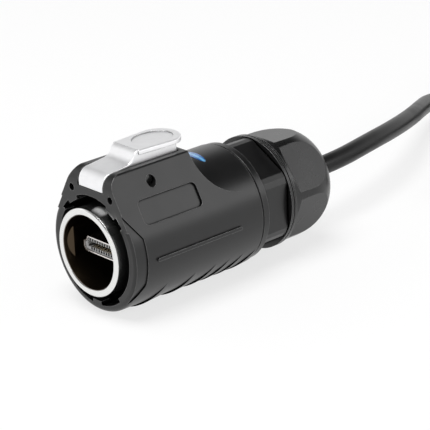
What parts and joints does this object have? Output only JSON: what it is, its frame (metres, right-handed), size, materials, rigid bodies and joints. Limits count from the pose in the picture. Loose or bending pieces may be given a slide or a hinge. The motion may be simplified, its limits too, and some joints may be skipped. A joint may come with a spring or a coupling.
{
  "type": "latch-locking circular cable plug with flat insert",
  "caption": "Round black cable plug with a metal sleeve, a flat inner plug, a silver thumb latch, a gland nut and its lead.",
  "frame": {"origin": "centre of the metal sleeve's mouth", "axes": "+Y along the plug's axis towards the cable gland, +Z towards the latch, +X to the right seen from the mouth"},
  "size_m": [0.0804, 0.2747, 0.0437],
  "materials": {
    "black_plastic": "charcoal satin",
    "nut_plastic": "black satin",
    "die_cast": "satin silver",
    "bright_metal": "polished plating",
    "steel": "plain",
    "gold_contact": "plated",
    "insulator": "dark grey",
    "black_rubber": "soft",
    "board_green": "solder resist",
    "blue_mark": "gloss",
    "jacket": "semi gloss",
    "wires": "bundle"
  },
  "bodies": {
    "plug_body": {"adapter_ring": "black_rubber", "av_plug_insulator": "insulator", "av_plug_shell": "bright_metal", "cable": "jacket", "cable_coil": "jacket", "cable_tail": "jacket", "clamp_cage": "nut_plastic", "coil_tie": "nut_plastic", "conductor_fan": "wires", "face_seal": "black_rubber", "far_grip": "black_plastic", "far_lower_contacts": "gold_contact", "far_plug_insulator": "insulator", "far_plug_shell": "bright_metal", "far_strain_relief": "black_rubber", "far_upper_contacts": "gold_contact", "gland_seal": "black_rubber", "housing": "black_plastic", "index_mark": "blue_mark", "insert_carrier": "insulator", "latch_pin": "steel", "latch_spring": "steel", "lower_contact_01": "gold_contact", "lower_contact_02": "gold_contact", "lower_contact_03": "gold_contact", "lower_contact_04": "gold_contact", "lower_contact_05": "gold_contact", "lower_contact_06": "gold_contact", "lower_contact_07": "gold_contact", "lower_contact_08": "gold_contact", "lower_contact_09": "gold_contact", "mating_sleeve": "bright_metal", "rear_adapter": "black_plastic", "solder_board": "board_green", "upper_contact_01": "gold_contact", "upper_contact_02": "gold_contact", "upper_contact_03": "gold_contact", "upper_contact_04": "gold_contact", "upper_contact_05": "gold_contact", "upper_contact_06": "gold_contact", "upper_contact_07": "gold_contact", "upper_contact_08": "gold_contact", "upper_contact_09": "gold_contact", "upper_contact_10": "gold_contact"},
    "latch_lever": {"latch": "die_cast"},
    "nut_body": {"gland_nut": "nut_plastic"}
  },
  "joints": [
    {"name": "latch_press", "type": "hinge", "parent": "plug_body", "child": "latch_lever", "pos_m": [0, 0.0152, 0.01825], "axis": [-1, 0, 0], "range_deg": [0, 8], "stiffness_Nm_per_rad": 0.9, "springref_deg": -6.88, "deforming": ["latch_spring"]},
    {"name": "gland_nut_turn", "type": "hinge", "parent": "plug_body", "child": "nut_body", "pos_m": [0, 0.07, 0], "axis": [0, 1, 0], "continuous": true}
  ]
}
